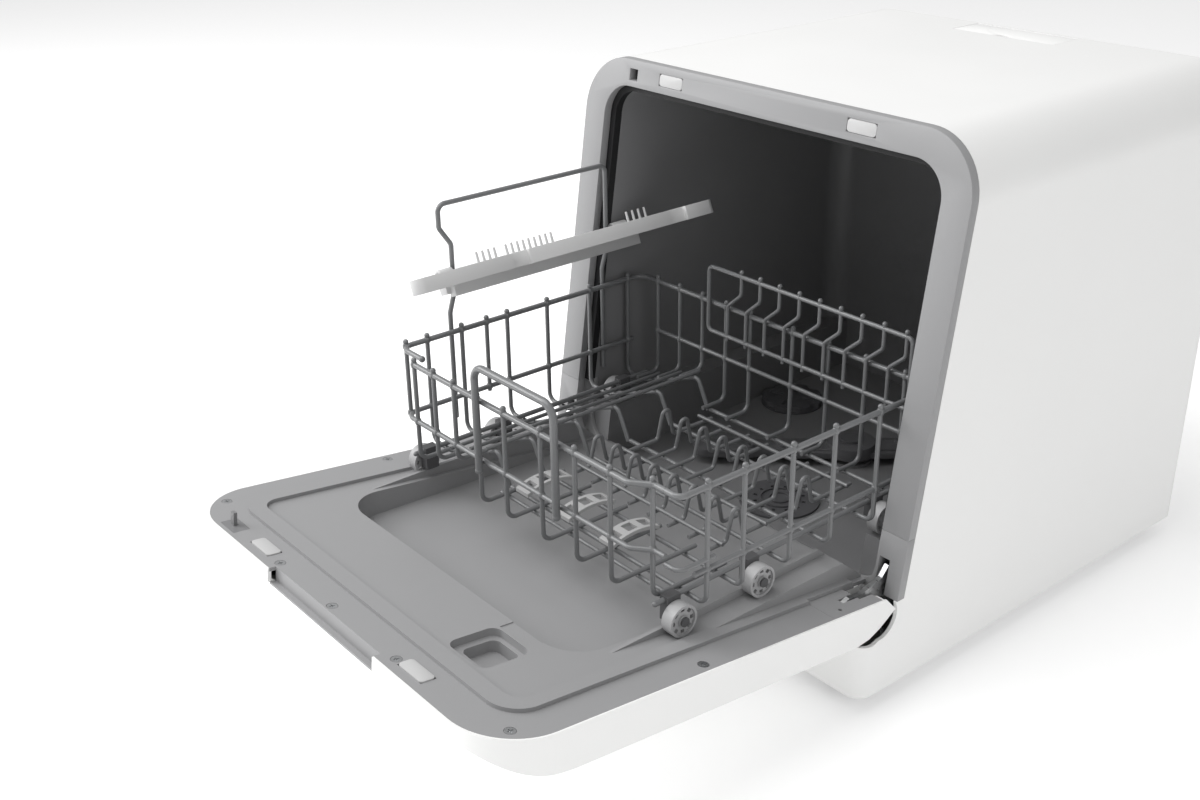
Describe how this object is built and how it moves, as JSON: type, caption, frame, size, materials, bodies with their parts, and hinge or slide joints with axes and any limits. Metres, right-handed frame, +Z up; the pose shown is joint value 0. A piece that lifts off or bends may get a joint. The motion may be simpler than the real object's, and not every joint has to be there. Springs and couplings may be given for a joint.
{
  "type": "countertop dishwasher",
  "caption": "Compact dishwasher with a drop-down door, wire dish rack rolled out onto it, fold-up cup shelf, wash tub with spray arm, filter and fill tank lid.",
  "frame": {"origin": "middle of the footprint on the bench, with the door open and the rack rolled out", "axes": "+Z up, +Y from the open door to the back of the cabinet, +X to the right of someone facing the door"},
  "size_m": [0.42, 0.7796, 0.44],
  "materials": {
    "white_shell": "smooth white with a low sheen",
    "grey_frame": "fine matt grey",
    "grey_panel": "fine matt light grey",
    "pale_plastic": "plain pale grey",
    "dark_tub": "dark grey, slightly glossy",
    "pump_dark": "dark grey",
    "black_rubber": "matt black",
    "coated_wire": "grey dipped coating on steel wire",
    "plain_steel": "plain steel",
    "board_green": "green circuit board",
    "black_gloss": "glossy black",
    "button_grey": "light grey",
    "wheel_grey": "mid grey nylon"
  },
  "bodies": {
    "cabinet": {"outer_casing": "white_shell", "base_pan": "pale_plastic", "rear_cover": "white_shell", "front_frame": "grey_frame", "lower_frame": "grey_frame", "door_seal": "black_rubber", "wash_tub": "dark_tub", "sump_cup": "dark_tub", "filter_basket": "dark_tub", "salt_cap": "dark_tub", "spray_post": "dark_tub", "wash_pump": "pump_dark", "drain_pump": "pump_dark", "flow_heater": "plain_steel", "water_tank": "pale_plastic", "control_board": "board_green", "door_lock": "pump_dark", "frame_pads": "pale_plastic", "rubber_feet": "black_rubber", "cable_gland": "black_rubber", "inlet_connector": "pale_plastic", "drain_connector": "pale_plastic", "hinge_brackets": "plain_steel"},
    "lid": {"tank_lid": "white_shell"},
    "arm": {"spray_arm": "dark_tub"},
    "door": {"door_outer": "white_shell", "door_inner": "grey_panel", "hinge_covers": "grey_panel", "hinge_arm_left": "plain_steel", "hinge_arm_right": "plain_steel", "door_screws": "plain_steel", "door_pads": "pale_plastic", "lock_pin": "wheel_grey", "control_panel": "black_gloss", "display_window": "black_gloss"},
    "rack": {"rack_side_left": "coated_wire", "rack_side_right": "coated_wire", "rack_front_panel": "coated_wire", "rack_back_panel": "coated_wire", "rack_floor": "coated_wire", "tine_wires": "coated_wire", "rack_ledge": "coated_wire", "back_rack": "coated_wire", "shelf_frame": "coated_wire", "pull_handle": "coated_wire", "cup_rests": "pale_plastic", "wheel_brackets": "pump_dark"},
    "shelf": {"cup_shelf": "pale_plastic"},
    "button_power_cap": {"button_power": "button_grey"},
    "button_program_cap": {"button_program": "button_grey"},
    "button_delay_cap": {"button_delay": "button_grey"},
    "button_start_cap": {"button_start": "button_grey"},
    "wheel_right_front_hub": {"wheel_right_front": "wheel_grey"},
    "wheel_right_mid_hub": {"wheel_right_mid": "wheel_grey"},
    "wheel_right_rear_hub": {"wheel_right_rear": "wheel_grey"},
    "wheel_left_front_hub": {"wheel_left_front": "wheel_grey"},
    "wheel_left_mid_hub": {"wheel_left_mid": "wheel_grey"},
    "wheel_left_rear_hub": {"wheel_left_rear": "wheel_grey"}
  },
  "joints": [
    {"name": "door_hinge", "type": "hinge", "parent": "cabinet", "child": "door", "pos_m": [0, -0.03088, 0.08268], "axis": [-1, 0, 0], "range_deg": [-6.7, 0]},
    {"name": "rack_slide", "type": "slide", "parent": "cabinet", "child": "rack", "axis": [0, 1, 0], "range_m": [0, 0.265]},
    {"name": "lid_hinge", "type": "hinge", "parent": "cabinet", "child": "lid", "pos_m": [0, 0.38278, 0.4385], "axis": [-1, 0, 0], "range_deg": [0, 100]},
    {"name": "spray_arm_spin", "type": "hinge", "parent": "cabinet", "child": "arm", "pos_m": [0, 0.17378, 0.08], "axis": [0, 0, 1], "continuous": true},
    {"name": "shelf_fold", "type": "hinge", "parent": "rack", "child": "shelf", "pos_m": [-0.1718, -0.07222, 0.287], "axis": [0, -1, 0], "range_deg": [0, 45]},
    {"name": "button_power_push", "type": "slide", "parent": "door", "child": "button_power_cap", "axis": [0, 0.1167, 0.9932], "range_m": [0, 0.0012], "stiffness_N_per_m": 400},
    {"name": "button_program_push", "type": "slide", "parent": "door", "child": "button_program_cap", "axis": [0, 0.1167, 0.9932], "range_m": [0, 0.0012], "stiffness_N_per_m": 400},
    {"name": "button_delay_push", "type": "slide", "parent": "door", "child": "button_delay_cap", "axis": [0, 0.1167, 0.9932], "range_m": [0, 0.0012], "stiffness_N_per_m": 400},
    {"name": "button_start_push", "type": "slide", "parent": "door", "child": "button_start_cap", "axis": [0, 0.1167, 0.9932], "range_m": [0, 0.0012], "stiffness_N_per_m": 400},
    {"name": "wheel_right_front_spin", "type": "hinge", "parent": "rack", "child": "wheel_right_front_hub", "pos_m": [0.162, -0.19422, 0.1312], "axis": [-1, 0, 0], "range_deg": [-5, 1220]},
    {"name": "wheel_right_mid_spin", "type": "hinge", "parent": "rack", "child": "wheel_right_mid_hub", "pos_m": [0.162, -0.11622, 0.1312], "axis": [-1, 0, 0], "range_deg": [-5, 1220]},
    {"name": "wheel_right_rear_spin", "type": "hinge", "parent": "rack", "child": "wheel_right_rear_hub", "pos_m": [0.162, 0.02178, 0.1312], "axis": [-1, 0, 0], "range_deg": [-5, 1220]},
    {"name": "wheel_left_front_spin", "type": "hinge", "parent": "rack", "child": "wheel_left_front_hub", "pos_m": [-0.162, -0.19422, 0.1312], "axis": [-1, 0, 0], "range_deg": [-5, 1220]},
    {"name": "wheel_left_mid_spin", "type": "hinge", "parent": "rack", "child": "wheel_left_mid_hub", "pos_m": [-0.162, -0.11622, 0.1312], "axis": [-1, 0, 0], "range_deg": [-5, 1220]},
    {"name": "wheel_left_rear_spin", "type": "hinge", "parent": "rack", "child": "wheel_left_rear_hub", "pos_m": [-0.162, 0.02178, 0.1312], "axis": [-1, 0, 0], "range_deg": [-5, 1220]}
  ],
  "couplings": [
    {"joint": "wheel_right_front_spin", "follows": "rack_slide", "rad_per_m": 80},
    {"joint": "wheel_right_mid_spin", "follows": "rack_slide", "rad_per_m": 80},
    {"joint": "wheel_right_rear_spin", "follows": "rack_slide", "rad_per_m": 80},
    {"joint": "wheel_left_front_spin", "follows": "rack_slide", "rad_per_m": 80},
    {"joint": "wheel_left_mid_spin", "follows": "rack_slide", "rad_per_m": 80},
    {"joint": "wheel_left_rear_spin", "follows": "rack_slide", "rad_per_m": 80}
  ]
}
